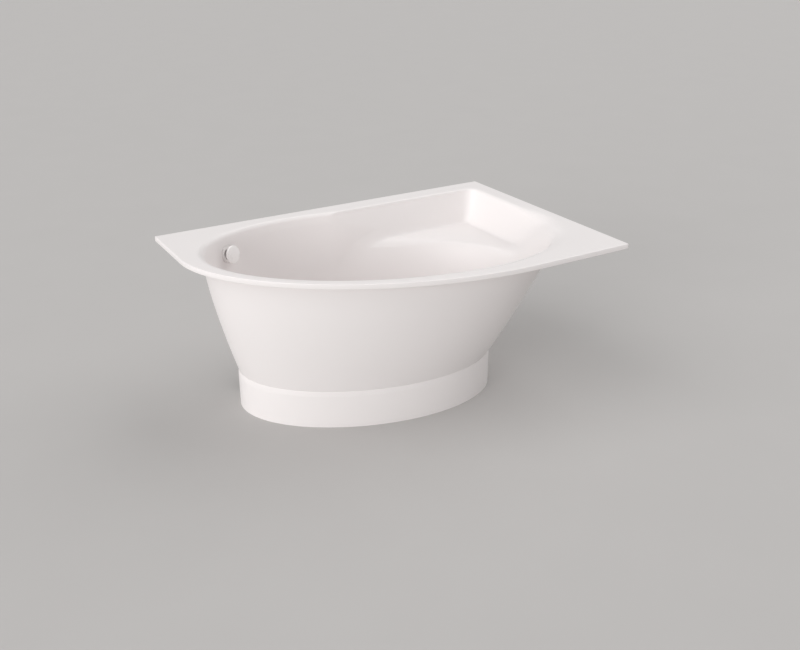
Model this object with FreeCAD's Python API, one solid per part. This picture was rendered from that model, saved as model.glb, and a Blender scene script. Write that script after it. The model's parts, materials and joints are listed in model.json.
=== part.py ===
import FreeCAD
import Part
import math
import os

V = FreeCAD.Vector
UP = V(0, 0, 1)

# Frame: the origin is on the floor under the middle of the rim, +X runs along the back edge to the
# right, +Y to the back wall, +Z up. Lengths are in millimetres, angles in degrees.

# Rim
length = 1500.0
width = 1000.0
height = 640.0
rim_thickness = 20.0
rim_edge_radius = 2.5
rim_curve_long = 860.0
rim_curve_short = 515.0
rim_curve_tilt = -16.9

# Least width of the flat deck beside the oval opening
deck_left = 58.0
deck_right = 74.0
deck_front = 55.0
deck_back = 55.0

# Bowl: how far its outside stands back from the rim's edges, under the rim and on the plinth
wall = 12.0
top_setback_left = 78.0
top_setback_right = 118.0
top_setback_front = 89.0
top_setback_back = 55.0
base_setback_left = 179.0
base_setback_right = 333.0
base_setback_front = 238.0
base_setback_back = 127.0
top_tilt = -19.0
base_tilt = -16.2
bulge_left = 1.41
bulge_right = 1.15
bulge_sides = 1.3
roll_height = 40.0
floor_rise = 45.0
floor_radius = 70.0
bowl_section_shares = (0, 0.2, 0.4, 0.6, 0.8, 1)

# Corner seat, measured from the rim's top and from the two wall edges
seat_drop = 140.0
seat_deck_back = 79.0
seat_deck_right = 60.0
seat_back_setback = 127.0
seat_right_setback = 128.0
seat_roll_height = 12.0
seat_roll_back = 6.0
seat_roll_right = 16.0
seat_left_top = -150.0
seat_left_bottom = 0.0
seat_front_top = -300.0
seat_front_bottom = -70.0
seat_inner_corner = 25.0
seat_outer_corner = 45.0
seat_front_corner_top = 250.0
seat_front_corner_bottom = 100.0
seat_left_corner = 12.0
seat_crease_radius = 10.0
seat_line_left = 292.0
seat_line_right_setback = 146.0
seat_line_front = -56.0
apron_back_angle = 40.0
apron_line_angle = 52.0
apron_drop = 115.0
apron_reach = 200.0

# Plinth
plinth_height = 150.0
plinth_ledge = 1.0
plinth_swell = 3.0
plinth_toe = 3.5
plinth_bevel = 20.0
foot_wall = 12.0
pipe_gap_left = 150.0
pipe_gap_right = 50.0

# Plinth brackets and their screws
bracket_width = 36.0
bracket_thickness = 4.0
bracket_overlap = 28.0
bracket_pad_depth = 1.0
bracket_angles = (22, 75, 215, 270, 325)
bracket_screw_radius = 2.0
bracket_screw_length = 12.0
bracket_screw_head_radius = 4.5
bracket_screw_head = 2.5
bracket_screw_place_share = 0.55

# Rails under the floor
rail_place_shares = (-0.32, 0.57)
rail_names = ("leg_rail_left", "leg_rail_right")
rail_width = 44.0
rail_depth = 28.0
rail_gauge = 2.5
rail_end_gap = 30.0
insert_radius = 6.0
insert_depth = 8.0
rail_bolt_radius = 4.0
rail_bolt_head_across = 13.0
rail_bolt_head = 5.5
rail_bolt_place_share = 0.45

# Feet
foot_end_inset = 42.0
stem_radius = 6.0
stem_top_gap = 10.0
rail_nut_across = 19.0
rail_nut_height = 25.0
lock_nut_height = 10.0
pad_radius = 30.0
pad_neck_radius = 14.0
pad_thickness = 8.0
pad_neck = 12.0
pad_socket = 10.0

# Drain in the floor
drain_place_share = -0.59
drain_hole_radius = 27.0
drain_dish_radius = 38.0
drain_dish_depth = 4.0
flange_radius = 35.0
flange_thickness = 2.5
flange_tube_radius = 24.0
flange_tube_bore = 21.0
flange_tube_length = 30.0
guide_radius = 8.0
guide_height = 10.0
guide_drop = 6.0
spoke_width = 4.0
spoke_count = 3
upper_seal_inset = 1.5
lower_seal_thickness = 4.0
drain_collar_radius = 42.0
drain_collar_thickness = 5.0
drain_neck = 8.0
chamber_radius = 33.0
chamber_wall = 3.0
chamber_depth = 50.0
tail_radius = 20.0
pipe_wall = 3.0

# Plug
plug_radius = 30.0
plug_rim = 3.5
plug_dome = 3.0
plug_seal_radius = 27.0
plug_seal_bore = 21.5
plug_seal_thickness = 2.5
plug_stem_radius = 4.0
plug_boss_radius = 7.0
plug_boss = 4.0

# Lift lever inside the drain body
lever_reach = 20.0
lever_swing = 30.0
lever_hub_radius = 6.0
lever_hub_length = 16.0
lever_tip_radius = 3.0
lever_arm_width = 8.0
lever_tail = 12.0
lever_pin_radius = 3.0
lever_pin_inset = 1.5
lever_drop = 24.0

# Trap and outlet
trap_ground_gap = 8.0
trap_bend_radius = 32.0
trap_rise_radius = 28.0
trap_leg = 12.0
trap_run = 26.0
socket_wall = 4.0
socket_depth = 16.0
joint_seal_thickness = 3.0
joint_nut_wall = 5.0
joint_nut_lip = 4.0
joint_nut_skirt = 14.0
spigot_depth = 12.0
outlet_end_gap = 60.0

# Overflow
overflow_drop = 78.0
overflow_angle = 151.0
overflow_hole_radius = 27.0
overflow_boss_radius = 46.0
overflow_boss = 6.0
overflow_face_margin = 1.5
overflow_face_depth = 0.5
collar_radius = 33.0
collar_thickness = 3.0
collar_tube_radius = 26.0
collar_tube_bore = 22.0
collar_hub_radius = 9.0
collar_hub_length = 12.0
overflow_gasket_thickness = 4.0
overflow_flange_radius = 44.0
overflow_flange = 5.0
overflow_chamber_radius = 36.0
overflow_chamber_depth = 34.0
overflow_wall = 3.0
knob_radius = 34.5
knob_gap = 20.0
knob_edge = 8.0
knob_dome = 5.0
knob_edge_radius = 2.5
knob_hub_radius = 11.0
knob_hub_gap = 1.5
knob_socket = 6.0
spindle_radius = 5.0
clip_radius = 9.0
clip_thickness = 1.5
crank_thickness = 6.0
crank_reach = 15.0
crank_hub_radius = 9.0
crank_end_radius = 6.0
crank_pin_radius = 3.0
crank_pin = 4.0
crank_end_gap = 3.0

# Hose and cable between the overflow and the drain
hose_radius = 14.0
hose_wall = 2.0
hose_bend_radius = 70.0
hose_nut_wall = 5.0
hose_nut_length = 22.0
hose_grip = 26.0
hose_inlet_drop = 17.0
spigot_length = 36.0
spigot_wall = 2.0
cable_radius = 2.5
cable_hub_radius = 5.0
cable_hub_length = 8.0
cable_rib = 2.0
cable_start = 6.0
cable_end_gap = 1.5

# Fits
fit_clearance = 0.05
seat_clearance = 0.2
overrun = 30.0
probe_step = 1.0

# Levels and edges worked out from the sizes above
left_edge = -length / 2
right_edge = length / 2
front_edge = -width / 2
back_edge = width / 2
rim_underside = height - rim_thickness
roll_level = height - roll_height
seat_level = height - seat_drop
seat_roll_level = height - seat_roll_height
floor_level = plinth_height + floor_rise
floor_underside = floor_level - wall
rail_web_underside = floor_underside - rail_gauge


def cylinder(radius, low, high):
    return Part.makeCylinder(radius, high - low, V(0, 0, low))


def ring(outer, inner, low, high):
    return cylinder(outer, low, high).cut(cylinder(inner, low - overrun, high + overrun))


def block(x_low, x_high, y_low, y_high, z_low, z_high):
    return Part.makeBox(x_high - x_low, y_high - y_low, z_high - z_low, V(x_low, y_low, z_low))


def hexagon(across, low, high):
    corner = across / math.sqrt(3)
    turns = [math.radians(60 * step) for step in range(7)]
    points = [V(corner * math.cos(turn), corner * math.sin(turn), low) for turn in turns]
    return Part.Face(Part.makePolygon(points)).extrude(V(0, 0, high - low))


def disc_with_dome(radius, low, high, dome):
    """Round disc whose top rises by the dome in a spherical cap."""
    sphere_radius = (radius ** 2 + dome ** 2) / (2 * dome)
    ball = Part.makeSphere(sphere_radius, V(0, 0, high + dome - sphere_radius))
    return cylinder(radius, low, high + dome).common(ball.fuse(cylinder(radius, low, high)))


def spokes(reach, low, high):
    """Flat arms from the middle out to the reach, evenly spread."""
    arms = []
    for step in range(spoke_count):
        arm = block(0, reach, -spoke_width / 2, spoke_width / 2, low, high)
        arm.rotate(V(0, 0, 0), UP, 360 / spoke_count * step)
        arms.append(arm)
    return arms[0].multiFuse(arms[1:])


def placed(shape, origin, x_axis, z_axis):
    """Copy of a shape, moved from its own frame to an origin and two axes."""
    z_unit = V(z_axis).normalize()
    y_unit = z_unit.cross(x_axis).normalize()
    x_unit = y_unit.cross(z_unit)
    matrix = FreeCAD.Matrix(
        x_unit.x, y_unit.x, z_unit.x, origin.x,
        x_unit.y, y_unit.y, z_unit.y, origin.y,
        x_unit.z, y_unit.z, z_unit.z, origin.z,
        0, 0, 0, 1)
    copy = shape.copy()
    copy.Placement = FreeCAD.Placement(matrix).multiply(copy.Placement)
    return copy


def bent_path(points, radius):
    """Straight runs through the points, with tangent arcs at the inner ones."""
    edges = []
    start = points[0]
    for before, corner, after in zip(points, points[1:], points[2:]):
        inward = (before - corner).normalize()
        outward = (after - corner).normalize()
        half_turn = inward.getAngle(outward) / 2
        reach = radius / math.tan(half_turn)
        middle = corner + (inward + outward).normalize() * (radius / math.sin(half_turn) - radius)
        arc_start = corner + inward * reach
        arc_end = corner + outward * reach
        edges.append(Part.makeLine(start, arc_start))
        edges.append(Part.Arc(arc_start, middle, arc_end).toShape())
        start = arc_end
    edges.append(Part.makeLine(start, points[-1]))
    return Part.Wire(edges)


def rod_along(path, radius):
    first = path.Edges[0]
    begin = first.Vertexes[0].Point
    heading = first.tangentAt(first.FirstParameter)
    profile = Part.Wire(Part.makeCircle(radius, begin, heading))
    return path.makePipeShell([profile], True, False)


def oval(limits, tilt, z):
    """Tilted ellipse that touches the four limits: left, right, front, back."""
    centre, long_half, short_half = oval_size(limits, tilt)
    edge = Part.Ellipse(V(0, 0, 0), long_half, short_half).toShape()
    edge.rotate(V(0, 0, 0), UP, tilt)
    edge.translate(V(centre.x, centre.y, z))
    return Part.Wire(edge)


def oval_size(limits, tilt):
    """Centre, long half and short half of the tilted ellipse within the limits."""
    left, right, front, back = limits
    cos_part = math.cos(math.radians(tilt)) ** 2
    sin_part = 1 - cos_part
    x_part = ((right - left) / 2) ** 2
    y_part = ((back - front) / 2) ** 2
    spread = cos_part - sin_part
    long_half = math.sqrt((x_part * cos_part - y_part * sin_part) / spread)
    short_half = math.sqrt((y_part * cos_part - x_part * sin_part) / spread)
    return V((left + right) / 2, (front + back) / 2, 0), long_half, short_half


def oval_point(limits, tilt, z, angle):
    centre, long_half, short_half = oval_size(limits, tilt)
    turn = math.radians(angle)
    point = V(long_half * math.cos(turn), short_half * math.sin(turn), z)
    return FreeCAD.Rotation(UP, tilt).multVec(point) + centre


def grown(limits, step):
    left, right, front, back = limits
    return left - step, right + step, front - step, back + step


def without(body, tools):
    for tool in tools:
        body = body.cut(tool)
    return body


def between(first, second, share):
    return first + (second - first) * share


def mixed(first, second, share):
    return tuple(between(a, b, share) for a, b in zip(first, second))


# Bowl

base_limits = (
    left_edge + base_setback_left,
    right_edge - base_setback_right,
    front_edge + base_setback_front,
    back_edge - base_setback_back)
top_limits = (
    left_edge + top_setback_left,
    right_edge - top_setback_right,
    front_edge + top_setback_front,
    back_edge - top_setback_back)
opening_limits = (
    left_edge + deck_left,
    right_edge - deck_right,
    front_edge + deck_front,
    back_edge - deck_back)


def bowl_share(z):
    return (z - plinth_height) / (rim_underside - plinth_height)


def bowl_limits(z):
    """Limits of the bowl's outside at a height: each side has its own bulge."""
    bulges = (bulge_left, bulge_right, bulge_sides, bulge_sides)
    rises = [1 - (1 - bowl_share(z)) ** bulge for bulge in bulges]
    return tuple(between(low, top, rise) for low, top, rise in zip(base_limits, top_limits, rises))


def bowl_tilt(z):
    return between(base_tilt, top_tilt, bowl_share(z))


def bowl_outside():
    levels = [plinth_height + share * (rim_underside - plinth_height) for share in bowl_section_shares]
    body = Part.makeLoft([oval(bowl_limits(z), bowl_tilt(z), z) for z in levels], True, False)
    neck = Part.Face(oval(top_limits, top_tilt, rim_underside))
    return body.fuse(neck.extrude(V(0, 0, rim_thickness / 2)))


def bowl_inside():
    """Hollow of the bowl: rounded floor, side walls and the roll up to the deck."""
    sections = []
    for turn in (0, 30, 60, 90):
        z = floor_level + floor_radius * (1 - math.cos(math.radians(turn)))
        inset = wall + floor_radius * (1 - math.sin(math.radians(turn)))
        sections.append(oval(grown(bowl_limits(z), -inset), bowl_tilt(z), z))
    wall_low = floor_level + floor_radius
    for share in bowl_section_shares[1:]:
        z = wall_low + share * (roll_level - wall_low)
        sections.append(oval(grown(bowl_limits(z), -wall), bowl_tilt(z), z))
    wall_limits = grown(bowl_limits(roll_level), -wall)
    for turn in (30, 60, 90):
        z = roll_level + roll_height * math.sin(math.radians(turn))
        limits = mixed(wall_limits, opening_limits, 1 - math.cos(math.radians(turn)))
        sections.append(oval(limits, top_tilt, z))
    mouth = Part.Face(oval(opening_limits, top_tilt, height)).extrude(V(0, 0, overrun))
    return Part.makeLoft(sections, True, False).fuse(mouth)


# Rim

def rim_slab():
    """Slab with three square corners and one elliptic corner at the front left."""
    tilt = math.radians(rim_curve_tilt)
    reach_x = math.hypot(rim_curve_long * math.cos(tilt), rim_curve_short * math.sin(tilt))
    reach_y = math.hypot(rim_curve_long * math.sin(tilt), rim_curve_short * math.cos(tilt))
    skew = (rim_curve_long ** 2 - rim_curve_short ** 2) * math.sin(tilt) * math.cos(tilt)
    centre = V(left_edge + reach_x, front_edge + reach_y, rim_underside)
    left_touch = V(left_edge, centre.y - skew / reach_x, rim_underside)
    front_touch = V(centre.x - skew / reach_y, front_edge, rim_underside)
    long_end = centre + V(math.cos(tilt), math.sin(tilt), 0) * rim_curve_long
    short_end = centre + V(-math.sin(tilt), math.cos(tilt), 0) * rim_curve_short
    curve = Part.Ellipse(long_end, short_end, centre)
    arc = Part.ArcOfEllipse(curve, curve.parameter(left_touch), curve.parameter(front_touch)).toShape()
    corners = [
        front_touch,
        V(right_edge, front_edge, rim_underside),
        V(right_edge, back_edge, rim_underside),
        V(left_edge, back_edge, rim_underside),
        left_touch]
    sides = [Part.makeLine(a, b) for a, b in zip(corners, corners[1:])]
    outline = Part.Wire([arc] + sides)
    slab = Part.Face(outline).extrude(V(0, 0, rim_thickness))
    return slab.makeFillet(rim_edge_radius, slab.Edges)


# Corner seat

def rounded_outline(left, right, front, back, radii, z):
    """Rectangle with its own radius at each corner: front right, back right, back left, front left."""
    corners = [(right, front, 1, -1), (right, back, 1, 1), (left, back, -1, 1), (left, front, -1, -1)]
    starts = []
    for (x, y, sx, sy), radius in zip(corners, radii):
        hub = V(x - sx * radius, y - sy * radius, z)
        diagonal = radius / math.sqrt(2)
        x_end = hub + V(sx * radius, 0, 0)
        y_end = hub + V(0, sy * radius, 0)
        middle = hub + V(sx * diagonal, sy * diagonal, 0)
        pair = (y_end, middle, x_end) if sx * sy < 0 else (x_end, middle, y_end)
        starts.append(pair)
    edges = []
    for pair, following in zip(starts, starts[1:] + starts[:1]):
        edges.append(Part.Arc(*pair).toShape())
        edges.append(Part.makeLine(pair[2], following[0]))
    return Part.Wire(edges)


def seat_outline(z, right, back, step):
    """Outline of the seat's hollow at a height, moved outward by a step."""
    rise = (z - seat_level) / seat_drop
    left = between(seat_left_bottom, seat_left_top, rise)
    front = between(seat_front_bottom, seat_front_top, rise)
    front_corner = between(seat_front_corner_bottom, seat_front_corner_top, rise)
    back_corner = between(seat_inner_corner, seat_outer_corner, rise)
    radii = (front_corner + step, back_corner + step, seat_left_corner + step, seat_left_corner + step)
    return rounded_outline(left - step, right + step, front - step, back + step, radii, z)


def seat_wall_outline(z, step):
    """Outline along the seat's sloping walls, below the roll."""
    rise = (z - seat_level) / (seat_roll_level - seat_level)
    right = between(right_edge - seat_right_setback, right_edge - seat_deck_right - seat_roll_right, rise)
    back = between(back_edge - seat_back_setback, back_edge - seat_deck_back - seat_roll_back, rise)
    return seat_outline(z, right, back, step)


def seat_roll_outline(turn):
    """Outline within the roll from the walls up to the deck."""
    z = seat_roll_level + seat_roll_height * math.sin(math.radians(turn))
    left_to_go = math.cos(math.radians(turn))
    right = right_edge - seat_deck_right - seat_roll_right * left_to_go
    back = back_edge - seat_deck_back - seat_roll_back * left_to_go
    return seat_outline(z, right, back, 0)


def seat_apron(step):
    """Slopes from the back crease and from the seat's front line down into the bowl, moved out by a step."""
    left = V(seat_line_left, back_edge - seat_back_setback, 0)
    right = V(right_edge - seat_line_right_setback, seat_line_front, 0)
    along = (right - left).normalize()
    across = UP.cross(along)
    back_turn = math.radians(apron_back_angle)
    line_turn = math.radians(apron_line_angle)
    outlines = []
    for drop in (0, apron_drop):
        back_shift = step / math.sin(back_turn) - drop / math.tan(back_turn)
        line_shift = step / math.sin(line_turn) - drop / math.tan(line_turn)
        back = left.y + back_shift
        end = right + along * step
        points = [
            V(seat_left_bottom - step, back, 0),
            V(left.x + (line_shift - across.y * back_shift) / across.x, back, 0),
            end + across * line_shift,
            end - across * apron_reach,
            V(seat_left_bottom - step, left.y - apron_reach, 0)]
        points = [point + UP * (seat_level - drop) for point in points]
        outlines.append(Part.makePolygon(points + points[:1]))
    return Part.makeLoft(outlines, True, True)


def seat_hollow():
    """Hollow over the seat: sloping walls with a rounded crease at the seat, and the roll to the deck."""
    lower = Part.makeLoft([seat_wall_outline(seat_level, 0), seat_wall_outline(seat_roll_level, 0)], True, True)
    creases = [edge for edge in lower.Edges if edge.BoundBox.ZMax < seat_level + seat_crease_radius]
    upper = [seat_roll_outline(turn) for turn in (0, 30, 60, 90)]
    mouth = Part.Face(upper[-1]).extrude(V(0, 0, overrun))
    lower = lower.makeFillet(seat_crease_radius, creases)
    return lower.fuse(seat_apron(0)).fuse(Part.makeLoft(upper, True, False)).fuse(mouth)


def seat_outside():
    top = seat_wall_outline(rim_underside, wall)
    body = Part.makeLoft([seat_wall_outline(seat_level - wall, wall), top], True, True)
    return body.multiFuse([Part.Face(top).extrude(V(0, 0, rim_thickness / 2)), seat_apron(wall)])


# Places of the drain and the overflow

base_centre, base_long, base_short = oval_size(base_limits, base_tilt)
long_way = FreeCAD.Rotation(UP, base_tilt).multVec(V(1, 0, 0))
cross_way = FreeCAD.Rotation(UP, base_tilt).multVec(V(0, 1, 0))
drain_place = base_centre + long_way * (base_long * drain_place_share)


def inner_wall_point(z, angle):
    return oval_point(grown(bowl_limits(z), -wall), bowl_tilt(z), z, angle)


overflow_level = height - overflow_drop
overflow_place = inner_wall_point(overflow_level, overflow_angle)
overflow_rise = (inner_wall_point(overflow_level + probe_step, overflow_angle)
                 - inner_wall_point(overflow_level - probe_step, overflow_angle)).normalize()
overflow_along = (inner_wall_point(overflow_level, overflow_angle - probe_step)
                  - inner_wall_point(overflow_level, overflow_angle + probe_step)).normalize()
overflow_out = overflow_rise.cross(overflow_along).normalize()
if overflow_out.dot(overflow_place - base_centre) < 0:
    overflow_out = overflow_out * -1


def at_overflow(shape):
    """From the overflow's own frame: +Z through the wall to the outside, +X up along the wall."""
    return placed(shape, overflow_place, overflow_rise, overflow_out)


def at_drain(shape):
    return placed(shape, drain_place, long_way, UP)


# Levels in the overflow's own frame, from the inner wall outward
boss_face = wall + overflow_boss
body_face = boss_face + overflow_gasket_thickness
chamber_low = body_face + overflow_flange
chamber_back = chamber_low + overflow_chamber_depth
collar_face = overflow_face_depth - collar_thickness
collar_end = chamber_low + fit_clearance
crank_high = chamber_back - overflow_wall - crank_end_gap
crank_low = crank_high - crank_thickness
hose_axis_level = (chamber_low + chamber_back) / 2
spigot_bore = hose_radius - hose_wall - fit_clearance - spigot_wall

# Levels of the drain, from the floor down
dish_level = floor_level - drain_dish_depth
flange_low = floor_level - flange_thickness
collar_top = floor_underside - lower_seal_thickness
collar_low = collar_top - drain_collar_thickness
chamber_ceiling = collar_low - drain_neck
chamber_floor = chamber_ceiling - chamber_depth
inlet_level = chamber_floor + hose_inlet_drop
lever_level = chamber_ceiling - lever_drop

# Route of the hose: down along the outside of the bowl, then level to the drain
hose_top = overflow_place + overflow_out * hose_axis_level
hose_fall = overflow_rise * -1
hose_corner = hose_top + hose_fall * ((hose_top.z - inlet_level) / overflow_rise.z)
inlet_centre = V(drain_place.x, drain_place.y, inlet_level)
inlet_way = (hose_corner - inlet_centre).normalize()
hose_start = hose_top + hose_fall * (overflow_chamber_radius + spigot_length - hose_grip)
hose_end = inlet_centre + inlet_way * (chamber_radius + spigot_length - hose_grip)


# Shell

def bath_shell():
    outside = rim_slab().multiFuse([bowl_outside(), seat_outside()])
    shell = outside.cut(bowl_inside().fuse(seat_hollow()))
    foot_hollow = Part.Face(oval(grown(base_limits, -foot_wall), base_tilt, plinth_height - overrun))
    shell = shell.cut(foot_hollow.extrude(V(0, 0, floor_underside - plinth_height + overrun)))
    shell = shell.fuse(at_overflow(cylinder(overflow_boss_radius, wall / 2, boss_face)))
    holes = [
        at_overflow(cylinder(overflow_hole_radius, -overrun, chamber_back)),
        at_overflow(cylinder(collar_radius + overflow_face_margin, -overrun, overflow_face_depth)),
        at_drain(cylinder(drain_hole_radius, floor_underside - overrun, floor_level + overrun)),
        at_drain(cylinder(drain_dish_radius, dish_level, floor_level + overrun))]
    holes += [placed(cylinder(insert_radius, floor_underside - overrun, floor_underside + insert_depth),
                     place, long_way, UP) for place in rail_bolt_places()]
    return without(shell, holes + bracket_seats()).removeSplitter()


# Plinth, brackets and screws

def plinth_ring():
    bevel_level = plinth_height - plinth_bevel
    lower = [oval(grown(base_limits, plinth_toe), base_tilt, 0),
             oval(grown(base_limits, plinth_swell), base_tilt, bevel_level)]
    upper = [lower[1], oval(grown(base_limits, plinth_ledge), base_tilt, plinth_height)]
    body = Part.makeLoft(lower, True, True).fuse(Part.makeLoft(upper, True, True))
    hollow = Part.Face(oval(grown(base_limits, -foot_wall), base_tilt, -overrun))
    body = body.cut(hollow.extrude(V(0, 0, plinth_height + 2 * overrun)))
    gap = block(drain_place.x - pipe_gap_left, drain_place.x + pipe_gap_right,
                drain_place.y + chamber_radius, back_edge, -overrun, plinth_height + overrun)
    return without(body, [gap] + bracket_seats())


def bracket_frames():
    """Point on the inside of the plinth and outward direction at each bracket."""
    limits = grown(base_limits, -foot_wall)
    frames = []
    for angle in bracket_angles:
        point = oval_point(limits, base_tilt, plinth_height, angle)
        along = (oval_point(limits, base_tilt, plinth_height, angle + probe_step)
                 - oval_point(limits, base_tilt, plinth_height, angle - probe_step))
        frames.append((point, along.cross(UP).normalize()))
    return frames


def at_brackets(shape):
    """From the bracket's own frame: +X up, +Z outward, zero on the inside of the wall."""
    return [placed(shape, point, UP, outward) for point, outward in bracket_frames()]


bracket_back = bracket_pad_depth - bracket_thickness
bracket_screw_tip = bracket_back + bracket_screw_length


def bracket_drills():
    """The two screw holes of one bracket."""
    drill = cylinder(bracket_screw_radius + fit_clearance, bracket_back - overrun, bracket_screw_tip)
    reach = bracket_overlap * bracket_screw_place_share
    return [drill.translated(V(side * reach, 0, 0)) for side in (-1, 1)]


def bracket_seats():
    """Flat pads and screw holes for the brackets, cut into the plinth and the bowl's foot."""
    half_height = bracket_overlap + seat_clearance
    half_width = bracket_width / 2 + seat_clearance
    pad = block(-half_height, half_height, -half_width, half_width, -overrun, bracket_pad_depth)
    return [seat for tool in [pad] + bracket_drills() for seat in at_brackets(tool)]


def plinth_brackets():
    half = bracket_width / 2
    plate = block(-bracket_overlap, bracket_overlap, -half, half, bracket_back, bracket_pad_depth)
    return Part.makeCompound(at_brackets(without(plate, bracket_drills())))


def plinth_screws():
    head_low = bracket_back - bracket_screw_head
    shank = cylinder(bracket_screw_radius, head_low, bracket_screw_tip)
    screw = shank.fuse(cylinder(bracket_screw_head_radius, head_low, bracket_back))
    reach = bracket_overlap * bracket_screw_place_share
    pair = [screw.translated(V(side * reach, 0, 0)) for side in (-1, 1)]
    return Part.makeCompound([placed_screw for one in pair for placed_screw in at_brackets(one)])


# Rails, inserts, bolts and feet

def rail_half_lengths():
    halves = []
    for share in rail_place_shares:
        far_side = abs(base_long * share) + rail_width / 2
        fall = 1 - (far_side / (base_long - foot_wall)) ** 2
        halves.append((base_short - foot_wall) * math.sqrt(fall) - rail_end_gap)
    return halves


def rail_centres():
    return [base_centre + long_way * (base_long * share) for share in rail_place_shares]


def places_on_rails(inset):
    """Plan points on each rail, the given inset from both of its ends."""
    places = []
    for centre, half in zip(rail_centres(), rail_half_lengths()):
        for side in (-1, 1):
            places.append(centre + cross_way * (side * (half - inset)))
    return places


def rail_bolt_places():
    places = []
    for centre, half in zip(rail_centres(), rail_half_lengths()):
        for side in (-1, 1):
            places.append(centre + cross_way * (side * half * rail_bolt_place_share))
    return places


def foot_places():
    return places_on_rails(foot_end_inset)


def standing(shape, places):
    return [placed(shape, place, long_way, UP) for place in places]


def leg_rail(centre, half):
    low = floor_underside - rail_depth
    side = rail_width / 2
    outer = block(-side, side, -half, half, low, floor_underside)
    inner = block(-side + rail_gauge, side - rail_gauge, -half - overrun, half + overrun,
                  low - overrun, rail_web_underside)
    rail = placed(outer.cut(inner), centre, long_way, UP)
    stem_hole = cylinder(stem_radius + seat_clearance, low, floor_underside + overrun)
    bolt_hole = cylinder(rail_bolt_radius + seat_clearance, low, floor_underside + overrun)
    return rail.cut(Part.makeCompound(standing(stem_hole, foot_places())
                                      + standing(bolt_hole, rail_bolt_places())))


def floor_inserts():
    insert = ring(insert_radius, rail_bolt_radius + fit_clearance,
                  floor_underside, floor_underside + insert_depth)
    return Part.makeCompound(standing(insert, rail_bolt_places()))


def rail_bolts():
    bolt = cylinder(rail_bolt_radius, rail_web_underside, floor_underside + insert_depth)
    head = hexagon(rail_bolt_head_across, rail_web_underside - rail_bolt_head, rail_web_underside)
    return Part.makeCompound(standing(bolt.fuse(head), rail_bolt_places()))


def nut(across, low, high):
    bore = cylinder(stem_radius + fit_clearance, low - overrun, high + overrun)
    return hexagon(across, low, high).cut(bore)


rail_nut_low = rail_web_underside - rail_nut_height
lock_nut_low = rail_nut_low - lock_nut_height


def nuts_on_stems(low, high):
    return Part.makeCompound(standing(nut(rail_nut_across, low, high), foot_places()))


def foot_stem():
    return cylinder(stem_radius, pad_thickness + pad_neck - pad_socket, floor_underside - stem_top_gap)


def foot_pad():
    neck_top = pad_thickness + pad_neck
    pad = cylinder(pad_radius, 0, pad_thickness).fuse(cylinder(pad_neck_radius, 0, neck_top))
    return pad.cut(cylinder(stem_radius + fit_clearance, neck_top - pad_socket, neck_top + overrun))


# Drain

def drain_flange():
    guide_high = flange_low - guide_drop
    guide_low = guide_high - guide_height
    spoke_reach = (flange_tube_radius + flange_tube_bore) / 2
    flange = ring(flange_radius, flange_tube_bore, flange_low, floor_level)
    tube = ring(flange_tube_radius, flange_tube_bore, flange_low - flange_tube_length, floor_level)
    guide = cylinder(guide_radius, guide_low, guide_high)
    guide = guide.fuse(spokes(spoke_reach, guide_low, guide_high))
    bore = cylinder(plug_stem_radius + fit_clearance, guide_low - overrun, guide_high + overrun)
    return at_drain(flange.fuse(tube).fuse(guide).cut(bore))


def drain_seal_upper():
    return at_drain(ring(flange_radius - upper_seal_inset, flange_tube_radius + fit_clearance,
                         dish_level, flange_low))


def drain_seal_lower():
    return at_drain(ring(drain_collar_radius, drain_hole_radius, collar_top, floor_underside))


def cable_seat(low, high, reach):
    """Hub on two ribs across a round passage, bored for the cable."""
    hub = cylinder(cable_hub_radius, low, high)
    rib = block(-reach, reach, -cable_rib / 2, cable_rib / 2, low, high)
    return hub.fuse(rib).cut(cylinder(cable_radius + fit_clearance, low - overrun, high + overrun))


def hose_spigot(root):
    """Spigot along +Z for the hose, from a root radius, with the seat for the cable at its mouth."""
    tip = root + spigot_length
    outer = spigot_bore + spigot_wall
    tube = ring(outer, spigot_bore, root, tip)
    return tube.fuse(cable_seat(tip - cable_hub_length, tip, spigot_bore + spigot_wall / 2))


def drain_body():
    chamber_bore = chamber_radius - chamber_wall
    solid = cylinder(drain_collar_radius, collar_low, collar_top)
    solid = solid.fuse(cylinder(chamber_radius, chamber_floor - chamber_wall, collar_low))
    solid = solid.fuse(cylinder(tail_radius, tail_low, chamber_floor))
    passages = cylinder(flange_tube_radius + fit_clearance, chamber_ceiling, collar_top + overrun)
    passages = passages.fuse(cylinder(chamber_bore, chamber_floor, chamber_ceiling))
    tail_bore = cylinder(tail_radius - pipe_wall, tail_low - overrun, chamber_floor + pipe_wall)
    body = at_drain(solid.cut(passages.fuse(tail_bore)))
    inlet = placed(cylinder(spigot_bore, chamber_bore - chamber_wall, chamber_radius + chamber_wall),
                   inlet_centre, UP, inlet_way)
    spigot = placed(hose_spigot(chamber_bore + chamber_wall / 2), inlet_centre, UP, inlet_way)
    spigot = spigot.cut(at_drain(cylinder(chamber_bore, chamber_floor, chamber_ceiling)))
    return body.fuse(spigot).cut(inlet).cut(lever_pin_solid(lever_pin_radius + fit_clearance))


# Plug

plug_low = floor_level + seat_clearance
cap_low = plug_low + plug_seal_thickness
lever_tip_top = lever_level - lever_reach * math.sin(math.radians(lever_swing / 2)) + lever_tip_radius


def plug_cap():
    cap = disc_with_dome(plug_radius, cap_low, cap_low + plug_rim, plug_dome)
    boss_low = cap_low - plug_boss
    cap = cap.fuse(cylinder(plug_boss_radius, boss_low, cap_low))
    return at_drain(cap.cut(cylinder(plug_stem_radius + fit_clearance, boss_low - overrun, cap_low)))


def plug_seal():
    return at_drain(ring(plug_seal_radius, plug_seal_bore, plug_low, cap_low))


def plug_stem():
    return at_drain(cylinder(plug_stem_radius, lever_tip_top + seat_clearance, cap_low))


# Lift lever: its pin lies across the chamber on the side of the hose inlet

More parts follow.
